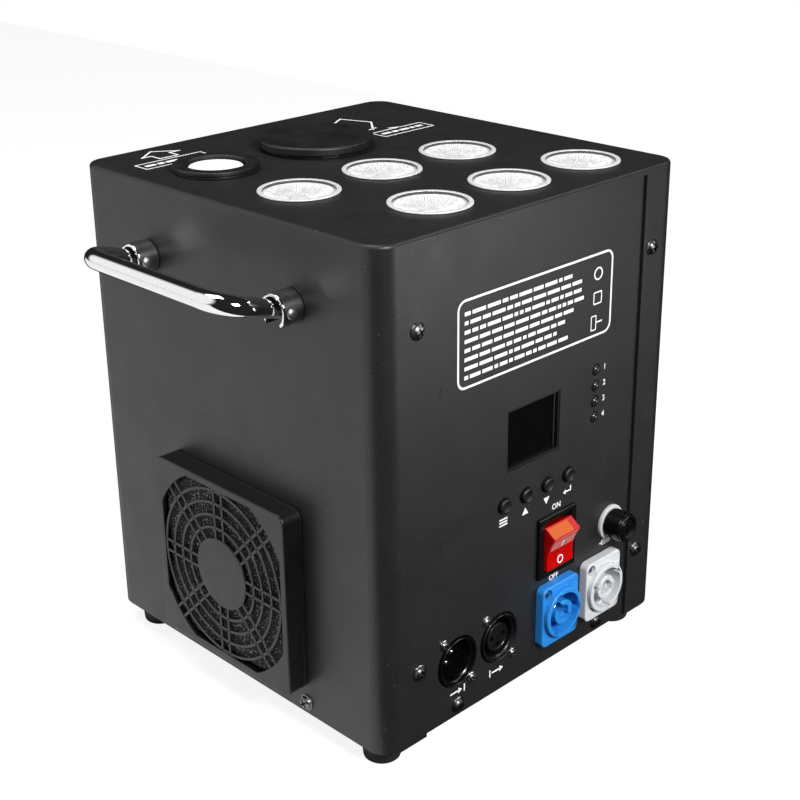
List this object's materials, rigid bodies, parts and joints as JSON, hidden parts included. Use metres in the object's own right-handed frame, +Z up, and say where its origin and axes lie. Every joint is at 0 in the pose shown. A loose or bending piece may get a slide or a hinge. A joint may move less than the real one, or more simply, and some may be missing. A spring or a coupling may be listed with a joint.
{
  "type": "cold spark machine",
  "caption": "Stage cold spark fountain: folded steel case with folding side handles, top spark outlet, powder hopper lid, six lamps, control panel with sockets, and filtered side fan.",
  "frame": {"origin": "on the ground under the middle of the whole machine's box", "axes": "+Z up, the control panel faces -Y, the fan guard is on the -X wall"},
  "size_m": [0.2606, 0.201, 0.2385],
  "materials": {
    "powder_coat": "fine textured black powder coat",
    "zinc_steel": "zinc plated",
    "chrome": "polished",
    "boss_paint": "satin grey",
    "rubber": "matt moulded",
    "black_plastic": "moulded",
    "guard_plastic": "moulded satin",
    "foam": "open cell foam",
    "lens": "clear ribbed",
    "white_plastic": "moulded",
    "outlet_white": "smooth",
    "blue_plastic": "moulded",
    "red_plastic": "translucent moulded",
    "board": "solder mask",
    "dark_panel": "dark",
    "fuse_glass": "clear",
    "steel": "turned",
    "supply_case": "plain"
  },
  "bodies": {
    "case": {"outer_cover": "powder_coat", "front_panel": "powder_coat", "rear_panel": "powder_coat", "base_plate": "powder_coat", "foot_front_left": "rubber", "foot_front_right": "rubber", "foot_rear_left": "rubber", "foot_rear_right": "rubber", "left_handle_boss_front": "boss_paint", "left_handle_boss_rear": "boss_paint", "right_handle_boss_front": "boss_paint", "right_handle_boss_rear": "boss_paint", "left_handle_rivet_front": "zinc_steel", "left_handle_rivet_rear": "zinc_steel", "right_handle_rivet_front": "zinc_steel", "right_handle_rivet_rear": "zinc_steel", "fan_guard_frame": "guard_plastic", "fan_filter": "foam", "fan_housing": "black_plastic", "led_lens_1": "lens", "led_lens_2": "lens", "led_lens_3": "lens", "led_lens_4": "lens", "led_lens_5": "lens", "led_lens_6": "lens", "led_board": "board", "nozzle_ring": "black_plastic", "nozzle_tube": "steel", "hopper": "steel", "feed_motor": "steel", "heating_chamber": "steel", "blower_housing": "black_plastic", "power_supply": "supply_case", "control_board": "board", "display_board": "board", "display_module": "dark_panel", "indicator_lights": "lens", "switch_body": "black_plastic", "fuse_holder": "white_plastic", "dmx_in_socket": "black_plastic", "dmx_out_socket": "black_plastic", "mains_inlet": "blue_plastic", "mains_outlet": "white_plastic"},
    "left_handle": {"left_handle_bar": "chrome"},
    "right_handle": {"right_handle_bar": "chrome"},
    "first_button": {"button_1": "white_plastic"},
    "second_button": {"button_2": "white_plastic"},
    "third_button": {"button_3": "white_plastic"},
    "fourth_button": {"button_4": "white_plastic"},
    "rocker": {"switch_rocker": "red_plastic"},
    "fuse_link": {"fuse": "fuse_glass"},
    "fuse_knob": {"fuse_cap": "black_plastic"},
    "lid": {"hopper_lid": "black_plastic"},
    "outlet_cap": {"nozzle_cap": "outlet_white"},
    "guard_cover": {"fan_guard_cover": "guard_plastic"},
    "fan_wheel": {"fan_rotor": "black_plastic"},
    "auger": {"feed_auger": "steel"},
    "blower_wheel": {"blower_impeller": "black_plastic"}
  },
  "joints": [
    {"name": "left_handle_fold", "type": "hinge", "parent": "case", "child": "left_handle", "pos_m": [-0.0995, 0.005, 0.2], "axis": [0, -1, 0], "range_deg": [-9, 106]},
    {"name": "right_handle_fold", "type": "hinge", "parent": "case", "child": "right_handle", "pos_m": [0.0995, 0.005, 0.2], "axis": [0, 1, 0], "range_deg": [-9, 106]},
    {"name": "button_1_press", "type": "slide", "parent": "case", "child": "first_button", "axis": [0, 1, 0], "range_m": [0, 0.0008], "stiffness_N_per_m": 300},
    {"name": "button_2_press", "type": "slide", "parent": "case", "child": "second_button", "axis": [0, 1, 0], "range_m": [0, 0.0008], "stiffness_N_per_m": 300},
    {"name": "button_3_press", "type": "slide", "parent": "case", "child": "third_button", "axis": [0, 1, 0], "range_m": [0, 0.0008], "stiffness_N_per_m": 300},
    {"name": "button_4_press", "type": "slide", "parent": "case", "child": "fourth_button", "axis": [0, 1, 0], "range_m": [0, 0.0008], "stiffness_N_per_m": 300},
    {"name": "rocker_tilt", "type": "hinge", "parent": "case", "child": "rocker", "pos_m": [0.0154, -0.0855, 0.0715], "axis": [-1, 0, 0], "range_deg": [0, 24]},
    {"name": "fuse_slide", "type": "slide", "parent": "case", "child": "fuse_link", "axis": [0, -1, 0], "range_m": [0, 0.03]},
    {"name": "fuse_cap_turn", "type": "hinge", "parent": "fuse_link", "child": "fuse_knob", "pos_m": [0.0548, -0.09, 0.0671], "axis": [0, -1, 0], "range_deg": [0, 90]},
    {"name": "lid_lift", "type": "slide", "parent": "case", "child": "lid", "axis": [0, 0, 1], "range_m": [0, 0.025]},
    {"name": "outlet_cap_lift", "type": "slide", "parent": "case", "child": "outlet_cap", "axis": [0, 0, 1], "range_m": [0, 0.015]},
    {"name": "guard_cover_pull", "type": "slide", "parent": "case", "child": "guard_cover", "axis": [-1, 0, 0], "range_m": [0, 0.012]},
    {"name": "fan_spin", "type": "hinge", "parent": "case", "child": "fan_wheel", "pos_m": [-0.1, 0.0011, 0.0673], "axis": [1, 0, 0], "continuous": true},
    {"name": "auger_spin", "type": "hinge", "parent": "case", "child": "auger", "pos_m": [-0.01, 0.0441, 0.161], "axis": [1, 0, 0], "continuous": true},
    {"name": "blower_spin", "type": "hinge", "parent": "case", "child": "blower_wheel", "pos_m": [-0.0005, 0.05, 0.094], "axis": [0, 1, 0], "continuous": true}
  ]
}
